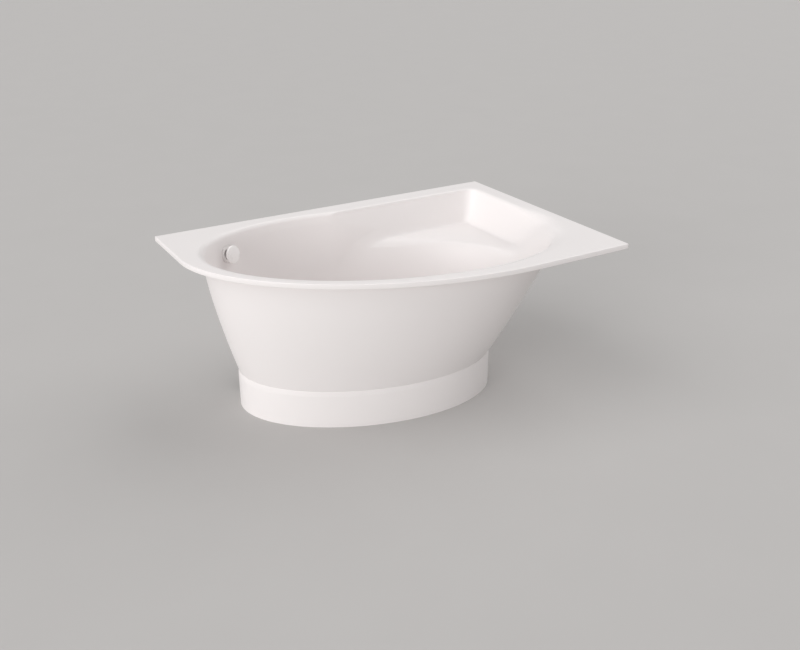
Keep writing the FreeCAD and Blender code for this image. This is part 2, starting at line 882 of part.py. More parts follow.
lever_centre = V(drain_place.x, drain_place.y, lever_level) + inlet_way * lever_reach
lever_axis = UP.cross(inlet_way)


def lever_pin_solid(radius):
    half = math.sqrt(chamber_radius ** 2 - lever_reach ** 2) - lever_pin_inset
    return placed(cylinder(radius, -half, half), lever_centre, UP, lever_axis)


def lift_lever():
    """In the lever's own frame +Z is the pin, +X points to the plug's stem."""
    half_hub = lever_hub_length / 2
    half_arm = lever_arm_width / 2
    arm = block(0, lever_reach, -lever_tip_radius / 2, lever_tip_radius / 2, -half_arm, half_arm)
    tip = Part.makeCylinder(lever_tip_radius, lever_arm_width, V(lever_reach, 0, -half_arm))
    tail = block(-lever_tip_radius / 2, lever_tip_radius / 2, -lever_tail, 0, -half_arm, half_arm)
    lever = cylinder(lever_hub_radius, -half_hub, half_hub).multiFuse([arm, tip, tail])
    lever = lever.cut(cylinder(lever_pin_radius + fit_clearance, -lever_reach, lever_reach))
    lever.rotate(V(0, 0, 0), UP, -lever_swing / 2)
    return placed(lever, lever_centre, inlet_way * -1, inlet_way.cross(UP) * -1)


# Trap and outlet

trap_turn_level = trap_ground_gap + tail_radius + trap_bend_radius
trap_mouth = trap_turn_level + trap_leg + socket_depth
tail_low = trap_mouth - spigot_depth
outlet_level = trap_turn_level + trap_rise_radius
outlet_mouth = 2 * trap_bend_radius + trap_rise_radius + trap_run - spigot_depth
outlet_end = back_edge - outlet_end_gap - drain_place.y


def socket():
    """Socket at the start of a pipe that runs along +Z from its mouth at zero."""
    return ring(tail_radius + socket_wall, tail_radius + fit_clearance, 0, socket_depth)


def joint_seal():
    return ring(tail_radius + socket_wall, tail_radius + fit_clearance, -joint_seal_thickness, 0)


def joint_nut():
    low = -joint_seal_thickness - joint_nut_lip
    bore = tail_radius + socket_wall + fit_clearance
    body = cylinder(bore + joint_nut_wall, low, joint_nut_skirt)
    body = body.cut(cylinder(bore, -joint_seal_thickness, joint_nut_skirt + overrun))
    return body.cut(cylinder(tail_radius + fit_clearance, low - overrun, joint_nut_skirt + overrun))


def at_trap(shape):
    """The trap's mouth faces up: +Z of the piece points down the pipe."""
    return placed(shape, V(drain_place.x, drain_place.y, trap_mouth), V(1, 0, 0), V(0, 0, -1))


def at_outlet(shape):
    mouth = V(drain_place.x, drain_place.y + outlet_mouth, outlet_level)
    return placed(shape, mouth, V(1, 0, 0), V(0, 1, 0))


def trap_path():
    x = drain_place.x
    near = drain_place.y
    far = near + 2 * trap_bend_radius
    turn = trap_turn_level
    diagonal = trap_rise_radius / math.sqrt(2)
    rise_hub = V(x, far + trap_rise_radius, turn)
    rise_end = rise_hub + V(0, 0, trap_rise_radius)
    return Part.Wire([
        Part.makeLine(V(x, near, trap_mouth - socket_depth), V(x, near, turn)),
        Part.Arc(V(x, near, turn), V(x, near + trap_bend_radius, turn - trap_bend_radius),
                 V(x, far, turn)).toShape(),
        Part.Arc(V(x, far, turn), rise_hub + V(0, -diagonal, diagonal), rise_end).toShape(),
        Part.makeLine(rise_end, rise_end + V(0, trap_run, 0))])


def trap_bend():
    path = trap_path()
    shoulder = cylinder(tail_radius + socket_wall, socket_depth, socket_depth + socket_wall)
    solid = rod_along(path, tail_radius).fuse(at_trap(shoulder)).fuse(at_trap(socket()))
    return solid.cut(rod_along(path, tail_radius - pipe_wall))


def outlet_pipe():
    run = outlet_end - outlet_mouth
    bore = tail_radius - pipe_wall
    pipe = ring(tail_radius, bore, socket_depth, run)
    shoulder = ring(tail_radius + socket_wall, bore, socket_depth, socket_depth + socket_wall)
    return at_outlet(pipe.fuse(shoulder).fuse(socket()))


# Overflow

def overflow_collar():
    flange = ring(collar_radius, collar_tube_bore, collar_face, overflow_face_depth)
    tube = ring(collar_tube_radius, collar_tube_bore, collar_face, collar_end)
    hub_high = collar_face + collar_hub_length
    spoke_reach = (collar_tube_radius + collar_tube_bore) / 2
    hub = cylinder(collar_hub_radius, collar_face, hub_high)
    hub = hub.fuse(spokes(spoke_reach, collar_face, hub_high))
    bore = cylinder(spindle_radius + fit_clearance, collar_face - overrun, hub_high + overrun)
    return at_overflow(flange.fuse(tube).fuse(hub).cut(bore))


def overflow_gasket():
    return at_overflow(ring(overflow_flange_radius, overflow_hole_radius, boss_face, body_face))


def overflow_body():
    bore = overflow_chamber_radius - overflow_wall
    solid = cylinder(overflow_flange_radius, body_face, chamber_low)
    solid = solid.fuse(cylinder(overflow_chamber_radius, chamber_low, chamber_back))
    hollow = cylinder(bore, chamber_low, chamber_back - overflow_wall)
    mouth = cylinder(collar_tube_radius + fit_clearance, body_face - overrun, chamber_low + overflow_wall)
    body = at_overflow(solid.cut(hollow).cut(mouth))
    spigot = placed(hose_spigot(bore + overflow_wall / 2), hose_top, overflow_out, hose_fall)
    outlet = placed(cylinder(spigot_bore, bore - overflow_wall, overflow_chamber_radius + overflow_wall),
                    hose_top, overflow_out, hose_fall)
    return body.fuse(spigot.cut(at_overflow(hollow))).cut(outlet)


knob_back = collar_face - knob_gap
knob_hub_end = collar_face - knob_hub_gap


def overflow_knob():
    """Domed disc with a hub at its back; the dome faces into the bath."""
    disc = disc_with_dome(knob_radius, 0, knob_edge, knob_dome)
    rims = [edge for edge in disc.Edges if edge.BoundBox.XLength > 2 * knob_radius - knob_edge_radius]
    disc = disc.makeFillet(knob_edge_radius, rims)
    hub_low = knob_back - knob_hub_end
    disc = disc.fuse(cylinder(knob_hub_radius, hub_low, knob_edge / 2))
    disc = disc.cut(cylinder(spindle_radius + fit_clearance, hub_low - overrun, knob_socket))
    return at_overflow(placed(disc, V(0, 0, knob_back), V(1, 0, 0), V(0, 0, -1)))


def knob_spindle():
    return at_overflow(cylinder(spindle_radius, knob_back - knob_socket, crank_high))


def spindle_clip():
    low = collar_face + collar_hub_length + seat_clearance
    return at_overflow(ring(clip_radius, spindle_radius, low, low + clip_thickness))


def cable_crank():
    """Arm that points sideways at rest, with the pin that takes the cable."""
    hub = cylinder(crank_hub_radius, crank_low, crank_high)
    arm = block(-crank_end_radius, crank_end_radius, 0, crank_reach, crank_low, crank_high)
    end = Part.makeCylinder(crank_end_radius, crank_thickness, V(0, crank_reach, crank_low))
    pin = Part.makeCylinder(crank_pin_radius, crank_pin, V(0, crank_reach, crank_low - crank_pin))
    crank = hub.multiFuse([arm, end, pin])
    return at_overflow(crank.cut(cylinder(spindle_radius, -overrun, chamber_back)))


# Hose and cable

def overflow_hose():
    path = bent_path([hose_start, hose_corner, hose_end], hose_bend_radius)
    return rod_along(path, hose_radius).cut(rod_along(path, hose_radius - hose_wall))


def hose_nut(origin, way):
    bore = hose_radius + fit_clearance
    return placed(ring(bore + hose_nut_wall, bore, 0, hose_nut_length), origin, UP.cross(way), way)


def control_cable():
    start_reach = overflow_chamber_radius + spigot_length - cable_hub_length - cable_start
    begin = hose_top + hose_fall * start_reach
    finish = inlet_centre + inlet_way * (chamber_radius - chamber_wall + cable_end_gap)
    return rod_along(bent_path([begin, hose_corner, finish], hose_bend_radius), cable_radius)


os.makedirs("parts", exist_ok=True)
nodes = {
    "bath_shell": bath_shell(),
    "plinth_ring": plinth_ring(),
    "plinth_brackets": plinth_brackets(),
    "plinth_screws": plinth_screws(),
    "floor_inserts": floor_inserts(),
    "rail_bolts": rail_bolts(),
    "rail_nuts": nuts_on_stems(rail_nut_low, rail_web_underside),
    "foot_lock_nuts": nuts_on_stems(lock_nut_low, rail_nut_low),
    "drain_flange": drain_flange(),
    "drain_seal_upper": drain_seal_upper(),
    "drain_seal_lower": drain_seal_lower(),
    "drain_body": drain_body(),
    "plug_cap": plug_cap(),
    "plug_seal": plug_seal(),
    "plug_stem": plug_stem(),
    "lift_lever": lift_lever(),
    "lever_pin": lever_pin_solid(lever_pin_radius),
    "trap_nut": at_trap(joint_nut()),
    "trap_seal": at_trap(joint_seal()),
    "trap_bend": trap_bend(),
    "outlet_nut": at_outlet(joint_nut()),
    "outlet_seal": at_outlet(joint_seal()),
    "outlet_pipe": outlet_pipe(),
    "overflow_collar": overflow_collar(),
    "overflow_gasket": overflow_gasket(),
    "overflow_body": overflow_body(),
    "overflow_knob": overflow_knob(),
    "knob_spindle": knob_spindle(),
    "spindle_clip": spindle_clip(),
    "cable_crank": cable_crank(),
    "overflow_hose": overflow_hose(),
    "hose_nut_upper": hose_nut(hose_start, hose_fall),
    "hose_nut_lower": hose_nut(hose_end, inlet_way),
    "control_cable": control_cable(),
}
for name, centre, half in zip(rail_names, rail_centres(), rail_half_lengths()):
    nodes[name] = leg_rail(centre, half)
for number, stem in enumerate(standing(foot_stem(), foot_places()), 1):
    nodes["foot_stem_%d" % number] = stem
for number, pad in enumerate(standing(foot_pad(), foot_places()), 1):
    nodes["foot_pad_%d" % number] = pad
for name, shape in nodes.items():
    shape.exportStep("parts/%s.step" % name)
    print(name, len(shape.Solids), shape.isValid(), round(shape.Volume))
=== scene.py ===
import json
import math

import bmesh
import bpy
import numpy as np
from mathutils import Matrix, Vector


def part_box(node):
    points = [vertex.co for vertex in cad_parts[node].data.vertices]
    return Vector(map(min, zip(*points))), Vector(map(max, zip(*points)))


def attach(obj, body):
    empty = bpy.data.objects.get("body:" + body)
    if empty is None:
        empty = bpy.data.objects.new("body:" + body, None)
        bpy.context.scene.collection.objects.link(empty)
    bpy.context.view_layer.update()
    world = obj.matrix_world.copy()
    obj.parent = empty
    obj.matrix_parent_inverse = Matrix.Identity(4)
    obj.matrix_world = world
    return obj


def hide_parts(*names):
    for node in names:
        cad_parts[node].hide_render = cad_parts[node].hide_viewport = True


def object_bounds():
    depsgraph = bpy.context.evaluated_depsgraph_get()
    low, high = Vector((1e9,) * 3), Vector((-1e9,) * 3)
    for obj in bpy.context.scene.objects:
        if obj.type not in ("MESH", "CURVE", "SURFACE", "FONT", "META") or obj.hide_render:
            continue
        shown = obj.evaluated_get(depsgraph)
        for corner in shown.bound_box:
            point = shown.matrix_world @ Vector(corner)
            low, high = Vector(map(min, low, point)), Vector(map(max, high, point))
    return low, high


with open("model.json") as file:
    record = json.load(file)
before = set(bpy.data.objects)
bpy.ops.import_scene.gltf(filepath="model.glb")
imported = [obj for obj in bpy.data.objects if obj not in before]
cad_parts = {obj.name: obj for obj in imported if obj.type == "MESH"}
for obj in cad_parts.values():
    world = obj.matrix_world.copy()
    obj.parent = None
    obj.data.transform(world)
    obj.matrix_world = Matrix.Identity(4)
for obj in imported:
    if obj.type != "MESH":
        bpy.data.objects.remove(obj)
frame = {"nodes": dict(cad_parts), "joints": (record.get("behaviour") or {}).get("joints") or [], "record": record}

cad_low, cad_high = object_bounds()

# Frame: metres, +X along the back edge to the right, +Y to the back wall, +Z up. Angles in degrees.

# Photo's camera
image_width = 800
focal_pixels = 928.9
sensor_width = 36.0
camera_place = Vector((-1.6858, -2.8856, 1.8093))
camera_yaw = 31.0
camera_pitch = 24.52

# Rim of the shell
rim_thickness = 0.020
rim_edge_radius = 0.0025
rim_edge_steps = 5
rim_curve_long = 0.860
rim_curve_short = 0.515
rim_curve_tilt = -16.9
rim_step = 0.010
deck_left = 0.058
deck_right = 0.074
deck_front = 0.055
deck_back = 0.050

# Bowl of the shell: how far its outside stands back from the rim's edges
wall = 0.012
foot_wall = 0.012
top_setbacks = (0.078, 0.118, 0.089, 0.055)
base_setbacks = (0.179, 0.333, 0.238, 0.127)
bulges = (1.41, 1.15, 1.3, 1.3)
top_tilt = -19.0
base_tilt = -16.2
roll_height = 0.040
floor_radius = 0.070

# Corner seat of the shell
seat_drop = 0.140
seat_deck_back = 0.079
seat_deck_right = 0.060
seat_back_setback = 0.127
seat_right_setback = 0.128
seat_roll_height = 0.012
seat_roll_back = 0.006
seat_roll_right = 0.016
seat_left_top = -0.150
seat_left_bottom = 0.0
seat_front_top = -0.300
seat_front_bottom = -0.070
seat_inner_corner = 0.038
seat_outer_corner = 0.045
seat_front_corner_top = 0.250
seat_front_corner_bottom = 0.100
seat_left_corner = 0.012
seat_edge_left = 0.220
seat_edge_right = 0.550
seat_edge_blend_left = 0.400
seat_edge_blend_right = 0.090
deck_fade = 0.100
seat_crease_blend = 0.040
extend_rise = 0.600
extend_spread = 0.110
soft_place = (0.640, -0.130)
soft_extent = 0.240
soft_disc = 0.040
soft_ring_shares = (0.5, 1.0)
soft_turns = 8

# Drain and overflow openings in the shell
drain_hole_radius = 0.027
drain_dish_radius = 0.038
drain_dish_depth = 0.004
dish_edge = 0.001
overflow_hole_radius = 0.027
overflow_face_radius = 0.0345
overflow_face_depth = 0.0005
overflow_boss_radius = 0.046
overflow_boss = 0.006
cut_overrun = 0.060

# Plinth
plinth_ledge = 0.001
plinth_swell = 0.003
plinth_toe = 0.0035
plinth_bevel = 0.020
plinth_edge_radius = 0.0008
plinth_bevel_radius = 0.030
plinth_steps = 360
pipe_gap_left = 0.150
pipe_gap_right = 0.050
chamber_radius = 0.033

# Knob on the overflow
knob_edge = 0.008
knob_dome = 0.005
knob_front_radius = 0.0035
knob_back_radius = 0.0015
knob_hub_radius = 0.011
knob_hub_fillet = 0.003
knob_socket_radius = 0.00505
knob_socket = 0.006
knob_tip_radius = 0.001
knob_steps = 128
dome_steps = 24

# Corrugated hose
hose_radius = 0.014
hose_wall = 0.0012
hose_groove = 0.0013
hose_pitch = 0.0048
hose_rows_per_rib = 8
hose_steps = 40
hose_bend_radius = 0.070
hose_nut_length = 0.022

# Threads and grips
foot_numbers = (1, 2, 3, 4)
thread_pitch = 0.00175
thread_depth = 0.0008
thread_rows_per_turn = 8
thread_steps = 36
thread_lead_in = 0.0015
grip_counts = {"trap_nut": 28, "outlet_nut": 28, "hose_nut_upper": 22, "hose_nut_lower": 22}
grip_depth = 0.0011
grip_steps = 16

# Rounded corners of turned profiles
round_steps = 7

# Grid of the shell's skin
ray_samples = 2000
bend_window = 9
top_rows = 132
under_rows = 44
flat_rows = 6
turn_weight = 0.060
level_step = 1e-6
seat_wall_sections = 20
seat_roll_sections = 14
floor_bend_sections = 14
bowl_wall_sections = 30
bowl_roll_sections = 16
outside_wall_sections = 40

# Limits of the meshes
sharp_angle = 35.0
weld_distance = 1e-6
least_blend = 1e-9

# Levels and limits worked out from the sizes and the frame
left_edge, front_edge, ground = cad_low
right_edge, back_edge, rim_top = cad_high
plinth_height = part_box("plinth_ring")[1].z
floor_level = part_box("drain_flange")[1].z
floor_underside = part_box("leg_rail_left")[1].z
rim_underside = rim_top - rim_thickness
roll_level = rim_top - roll_height
seat_level = rim_top - seat_drop
seat_roll_level = rim_top - seat_roll_height
knob_joint = next(joint for joint in frame["joints"] if joint["name"] == "knob_turn")
overflow_place = Vector(knob_joint["pos_m"])
overflow_out = Vector(knob_joint["axis"]).normalized()
edges = np.array([left_edge, right_edge, front_edge, back_edge])
inward = np.array([1, -1, 1, -1])
base_limits = edges + inward * base_setbacks
top_limits = edges + inward * top_setbacks
opening_limits = edges + inward * (deck_left, deck_right, deck_front, deck_back)


def between(first, second, share):
    return first + (second - first) * share


def eased(share):
    """Share from 0 to 1 with a level start and end."""
    return share * share * (3 - 2 * share)


def box_centre(node):
    low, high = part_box(node)
    return (low + high) / 2


def soft_min(first, second, blend):
    """Lower of two heights, with the crossing rounded over a height of about the blend."""
    blend = np.maximum(blend, least_blend)
    overlap = np.clip(1 - np.abs(first - second) / blend, 0, 1)
    return np.minimum(first, second) - overlap ** 3 * blend / 6


def soft_max(first, second, blend):
    return -soft_min(-first, -second, blend)


def oval_size(limits, tilt):
    """Centre, long half and short half of the tilted ellipse that touches the four limits."""
    left, right, front, back = limits
    cos_part = math.cos(math.radians(tilt)) ** 2
    sin_part = 1 - cos_part
    x_part = ((right - left) / 2) ** 2
    y_part = ((back - front) / 2) ** 2
    spread = cos_part - sin_part
    long_half = math.sqrt((x_part * cos_part - y_part * sin_part) / spread)
    short_half = math.sqrt((y_part * cos_part - x_part * sin_part) / spread)
    return np.array([(left + right) / 2, (front + back) / 2]), long_half, short_half


def turned(points, angle):
    turn = math.radians(angle)
    x, y = points[..., 0], points[..., 1]
    return np.stack([x * math.cos(turn) - y * math.sin(turn), x * math.sin(turn) + y * math.cos(turn)], -1)


def oval_reach(limits, tilt, pole, ways):
    """Distance from the pole to the tilted ellipse along each unit way."""
    centre, long_half, short_half = oval_size(limits, tilt)
    halves = np.array([long_half, short_half])
    start = turned(pole - centre, -tilt) / halves
    step = turned(ways, -tilt) / halves
    square = (step ** 2).sum(-1)
    cross = (step * start).sum(-1)
    rest = (start ** 2).sum() - 1
    return (-cross + np.sqrt(cross ** 2 - square * rest)) / square


def bowl_share(z):
    return (z - plinth_height) / (rim_underside - plinth_height)


def bowl_limits(z):
    """Limits of the bowl's outside at a height: each side has its own bulge."""
    rises = [1 - max(1 - bowl_share(z), 0) ** bulge for bulge in bulges]
    return between(base_limits, top_limits, np.array(rises))


def bowl_tilt(z):
    return between(base_tilt, top_tilt, bowl_share(z))


def rim_outline():
    """Points along the rim's outer edge, counter-clockwise, and the outward way at each."""
    tilt = math.radians(rim_curve_tilt)
    along = np.array([math.cos(tilt), math.sin(tilt)])
    across = np.array([-math.sin(tilt), math.cos(tilt)])
    reach_x = math.hypot(rim_curve_long * along[0], rim_curve_short * across[0])
    reach_y = math.hypot(rim_curve_long * along[1], rim_curve_short * across[1])
    centre = np.array([left_edge + reach_x, front_edge + reach_y])
    left_turn = math.atan2(-across[0] * rim_curve_short, -along[0] * rim_curve_long)
    front_turn = math.atan2(-across[1] * rim_curve_short, -along[1] * rim_curve_long)
    left_turn += 2 * math.pi * (left_turn < 0)
    front_turn += 2 * math.pi * (front_turn < left_turn)
    count = int(rim_curve_long * (front_turn - left_turn) / rim_step)
    turns = np.linspace(left_turn, front_turn, count, endpoint=False)[:, None]
    curve = centre + along * rim_curve_long * np.cos(turns) + across * rim_curve_short * np.sin(turns)
    curve_ways = along * np.cos(turns) / rim_curve_long + across * np.sin(turns) / rim_curve_short
    points = [curve]
    ways = [curve_ways / np.linalg.norm(curve_ways, axis=1, keepdims=True)]
    start = (centre + along * rim_curve_long * math.cos(front_turn)
             + across * rim_curve_short * math.sin(front_turn))
    corners = [(right_edge, front_edge, 1, -1), (right_edge, back_edge, 1, 1), (left_edge, back_edge, -1, 1)]
    for number, (x, y, side_x, side_y) in enumerate(corners):
        hub = np.array([x - side_x * rim_edge_radius, y - side_y * rim_edge_radius])
        first = math.radians(90 * number - 90)
        bend = np.linspace(first, first + math.pi / 2, rim_edge_steps)[:, None]
        bend_ways = np.hstack([np.cos(bend), np.sin(bend)])
        # A straight that follows a corner starts past the corner's last point
        straight = line_points(start, hub + bend_ways[0] * rim_edge_radius)[min(number, 1):]
        points += [straight, hub + bend_ways * rim_edge_radius]
        ways += [np.repeat(bend_ways[:1], len(straight), 0), bend_ways]
        start = points[-1][-1]
    straight = line_points(start, curve[0])[1:]
    points.append(straight)
    ways.append(np.repeat([[-1.0, 0.0]], len(straight), 0))
    return np.vstack(points), np.vstack(ways)


def line_points(first, last):
    """Points from the first one on, evenly spread and without the last."""
    count = max(2, int(np.linalg.norm(last - first) / rim_step))
    return first + (last - first) * np.linspace(0, 1, count, endpoint=False)[:, None]


def seat_outlines(step):
    """Heights, sides and corner radii of the seat hollow's outline, moved outward by a step."""
    levels = []
    for z in np.linspace(seat_level - seat_drop / 2, seat_roll_level, seat_wall_sections):
        rise = (z - seat_level) / (seat_roll_level - seat_level)
        right = between(right_edge - seat_right_setback, right_edge - seat_deck_right - seat_roll_right, rise)
        back = between(back_edge - seat_back_setback, back_edge - seat_deck_back - seat_roll_back, rise)
        levels.append((z, right, back))
    for turn in np.radians(np.linspace(0, 90, seat_roll_sections)[1:]):
        z = seat_roll_level + seat_roll_height * math.sin(turn)
        right = right_edge - seat_deck_right - seat_roll_right * math.cos(turn)
        back = back_edge - seat_deck_back - seat_roll_back * math.cos(turn)
        levels.append((z, right, back))
    outlines = []
    for z, right, back in levels:
        rise = (z - seat_level) / seat_drop
        left = between(seat_left_bottom, seat_left_top, rise)
        front = between(seat_front_bottom, seat_front_top, rise)
        front_corner = between(seat_front_corner_bottom, seat_front_corner_top, rise)
        back_corner = max(between(seat_inner_corner, seat_outer_corner, rise), seat_left_corner)
        radii = np.array([[seat_left_corner, seat_left_corner], [front_corner, back_corner]]) + step
        outlines.append((z, left - step, right + step, front - step, back + step, radii))
    return outlines


def outline_distance(x, y, outline):
    """Distance outside a rectangle with its own radius at each corner; negative inside."""
    left, right, front, back, radii = outline[1:]
    from_x = x - (left + right) / 2
    from_y = y - (front + back) / 2
    radius = radii[(from_x > 0).astype(int), (from_y > 0).astype(int)]
    past_x = np.abs(from_x) - (right - left) / 2 + radius
    past_y = np.abs(from_y) - (back - front) / 2 + radius
    outside = np.hypot(np.maximum(past_x, 0), np.maximum(past_y, 0))
    return np.minimum(np.maximum(past_x, past_y), 0) + outside - radius


def seat_height(x, y, step):
    """Height of the seat's surface over a plan point, up to the rim's top."""
    outlines = seat_outlines(step)
    height = np.full(x.shape, rim_top)
    before = outline_distance(x, y, outlines[0])
    height[before <= 0] = outlines[0][0]
    for low, high in zip(outlines, outlines[1:]):
        after = outline_distance(x, y, high)
        crossing = (before > 0) & (after <= 0)
        share = before[crossing] / (before[crossing] - after[crossing])
        height[crossing] = between(low[0], high[0], share)
        before = after
    return soft_max(height, np.full(x.shape, seat_level - step), seat_crease_blend)


def joined_height(bowl, walls, seat, x, top):
    """Height of the bowl and the seat together, with a wide rounding between the walls and the seat."""
    along = np.clip((seat_edge_right - x) / (seat_edge_right - seat_edge_left), 0, 1)
    blend = between(seat_edge_blend_right, seat_edge_blend_left, eased(along))
    fade = np.clip((top - seat) / deck_fade, 0, 1) ** 2
    return np.minimum(bowl, soft_min(walls, seat, blend * fade))


def wall_sections():
    """Heights, limits and tilts of the bowl's hollow, from the floor up to the roll."""
    sections = []
    for turn in np.radians(np.linspace(0, 90, floor_bend_sections)):
        z = floor_level + floor_radius * (1 - math.cos(turn))
        inset = wall + floor_radius * (1 - math.sin(turn))
        sections.append((z, bowl_limits(z) + inward * inset, bowl_tilt(z)))
    for z in np.linspace(floor_level + floor_radius, roll_level, bowl_wall_sections)[1:]:
        sections.append((z, bowl_limits(z) + inward * wall, bowl_tilt(z)))
    return sections


def roll_sections():
    """Heights, limits and tilts of the bowl's hollow, from the walls out to the deck."""
    wall_limits = bowl_limits(roll_level) + inward * wall
    sections = []
    for turn in np.radians(np.linspace(0, 90, bowl_roll_sections)[1:]):
        z = roll_level + roll_height * math.sin(turn)
        sections.append((z, between(wall_limits, opening_limits, 1 - math.cos(turn)), top_tilt))
    return sections


def outside_sections():
    """Heights, limits and tilts of the bowl's outside, from the plinth up to the rim."""
    levels = np.linspace(plinth_height, rim_underside, outside_wall_sections)
    return [(z, bowl_limits(z), bowl_tilt(z)) for z in levels]


def extended(sections):
    """Sections with one more far above, so that the walls go on upward."""
    z, limits, tilt = sections[-1]
    return sections + [(z + extend_rise, limits - inward * extend_spread, tilt)]


def section_heights(sections, pole, ways, reaches):
    """Height over each sample of each ray, read between the sections' ovals."""
    levels = np.array([section[0] for section in sections])
    radii = np.array([oval_reach(limits, tilt, pole, ways) for z, limits, tilt in sections])
    return np.array([np.interp(reach, radii[:, ray], levels) for ray, reach in enumerate(reaches)])


def spread_rows(reaches, heights, count):
    """Each ray's profile at even steps, closer where it bends, with some rows kept for its flat end."""
    window = np.full(bend_window, 1 / bend_window)
    new_reaches = np.empty((len(reaches), count))
    new_heights = np.empty((len(reaches), count))
    for ray, (reach, height) in enumerate(zip(reaches, heights)):
        edge = np.flatnonzero(height < height[-1] - level_step)[-1] + 2
        run = np.diff(reach[:edge])
        rise = np.diff(height[:edge])
        slope = np.arctan2(rise, run)
        bend = np.convolve(np.abs(np.diff(slope, prepend=slope[0])), window, "same")
        travel = np.concatenate([[0], np.cumsum(np.hypot(run, rise) + turn_weight * bend)])
        stops = np.linspace(0, travel[-1], count - flat_rows)
        flat = np.linspace(reach[edge - 1], reach[-1], flat_rows + 1)[1:]
        new_reaches[ray, :-flat_rows] = np.interp(stops, travel, reach[:edge])
        new_reaches[ray, -flat_rows:] = flat
        new_heights[ray, :-flat_rows] = np.interp(stops, travel, height[:edge])
        new_heights[ray, -flat_rows:] = height[-1]
    return new_reaches, new_heights


def loop_mesh(name, rows, capped):
    """Mesh from rows of points, each a loop; its ends are capped, or else the last row joins the first."""
    grid = np.asarray(rows)
    row_count, loop_count = grid.shape[:2]
    index = np.arange(row_count * loop_count).reshape(row_count, loop_count)
    following = np.roll(index, -1, 0)
    quads = np.stack([index, np.roll(index, -1, 1), np.roll(following, -1, 1), following], -1)
    points = grid.reshape(-1, 3)
    if not capped:
        return new_piece(name, points, quads.reshape(-1, 4).tolist())
    faces = quads[:-1].reshape(-1, 4).tolist()
    for row, hub in ((index[0], len(points)), (index[-1][::-1], len(points) + 1)):
        faces += [[hub, second, first] for first, second in zip(row.tolist(), np.roll(row, -1).tolist())]
    return new_piece(name, np.vstack([points, grid[0].mean(0), grid[-1].mean(0)]), faces)


def new_piece(name, points, faces):
    """Smooth-shaded mesh object with its faces pointing outward."""
    mesh = bpy.data.meshes.new(name)
    mesh.from_pydata(np.asarray(points).tolist(), [], faces)
    builder = bmesh.new()
    builder.from_mesh(mesh)
    if builder.calc_volume(signed=True) < 0:
        bmesh.ops.reverse_faces(builder, faces=builder.faces)
    builder.to_mesh(mesh)
    builder.free()
    finish_shading(mesh)
    piece = bpy.data.objects.new(name, mesh)
    bpy.context.scene.collection.objects.link(piece)
    return piece


def finish_shading(mesh):
    mesh.shade_smooth()
    mesh.set_sharp_from_angle(angle=math.radians(sharp_angle))


def level_row(plan, z):
    return np.column_stack([plan, np.full(len(plan), z)])


def shell_rows():
    """Rows of the shell's skin: drain hole, inside, deck, rim edge, underside, foot and floor's underside."""
    outline, outline_ways = rim_outline()
    pole = np.array(box_centre("drain_flange").xy)
    rays = outline - pole
    rim_reach = np.linalg.norm(rays, axis=1)
    ways = rays / rim_reach[:, None]
    square = (ways * outline_ways).sum(-1)
    deck_end = rim_reach - 2 * rim_edge_radius / square
    dish_level = floor_level - drain_dish_depth
    rows = [
        level_row(pole + ways * drain_hole_radius, floor_underside),
        level_row(pole + ways * drain_hole_radius, dish_level),
        level_row(pole + ways * drain_dish_radius, dish_level),
        level_row(pole + ways * drain_dish_radius, floor_level - dish_edge)]
    shares = np.linspace(0, 1, ray_samples)
    start = drain_dish_radius + dish_edge
    reaches = start + (deck_end[:, None] - start) * shares
    rows += profile_rows(pole, ways, reaches, softened_height(pole, ways, reaches), top_rows)
    for turn in np.radians(np.linspace(0, 90, rim_edge_steps)):
        inset = rim_edge_radius * (1 - math.sin(turn))
        drop = rim_edge_radius * (1 - math.cos(turn))
        rows.append(level_row(outline - outline_ways * inset, rim_top - drop))
    for turn in np.radians(np.linspace(90, 0, rim_edge_steps)):
        inset = rim_edge_radius * (1 - math.sin(turn))
        rise = rim_edge_radius * (1 - math.cos(turn))
        rows.append(level_row(outline - outline_ways * inset, rim_underside + rise))
    base_reach = oval_reach(base_limits, base_tilt, pole, ways)
    reaches = base_reach[:, None] + (deck_end - base_reach)[:, None] * shares
    under = profile_rows(pole, ways, reaches, outside_height(pole, ways, reaches), under_rows)
    rows += under[::-1]
    foot = oval_reach(base_limits + inward * foot_wall, base_tilt, pole, ways)
    foot_inside = pole + ways * foot[:, None]
    rows.append(level_row(foot_inside, plinth_height))
    rows.append(level_row(foot_inside, floor_underside))
    return rows


def plan_places(pole, ways, reaches):
    return pole[0] + ways[:, :1] * reaches, pole[1] + ways[:, 1:] * reaches


def inside_height(pole, ways, reaches):
    walls = wall_sections()
    bowl_height = section_heights(walls + roll_sections(), pole, ways, reaches)
    wall_height = section_heights(extended(walls), pole, ways, reaches)
    x, y = plan_places(pole, ways, reaches)
    return joined_height(bowl_height, wall_height, seat_height(x, y, 0), x, rim_top)


def softened_height(pole, ways, reaches):
    """Inside height, averaged over a small disc round each point close to the seat's front end."""
    heights = inside_height(pole, ways, reaches)
    x, y = plan_places(pole, ways, reaches)
    share = np.clip(1 - np.hypot(x - soft_place[0], y - soft_place[1]) / soft_extent, 0, 1)
    weight = eased(share)
    near = weight.max(1) > 0
    turns = np.linspace(0, 2 * math.pi, soft_turns, endpoint=False)
    circle = np.column_stack([np.cos(turns), np.sin(turns)])
    shifts = [soft_disc * ring * way for ring in soft_ring_shares for way in circle]
    smooth = np.mean([inside_height(pole + shift, ways[near], reaches[near]) for shift in shifts], 0)
    heights[near] = between(heights[near], smooth, weight[near])
    return heights


def outside_height(pole, ways, reaches):
    walls = outside_sections()
    bowl_height = section_heights(walls, pole, ways, reaches)
    wall_height = section_heights(extended(walls), pole, ways, reaches)
    x, y = plan_places(pole, ways, reaches)
    seat = np.minimum(seat_height(x, y, wall), rim_underside)
    return joined_height(bowl_height, wall_height, seat, x, rim_underside)


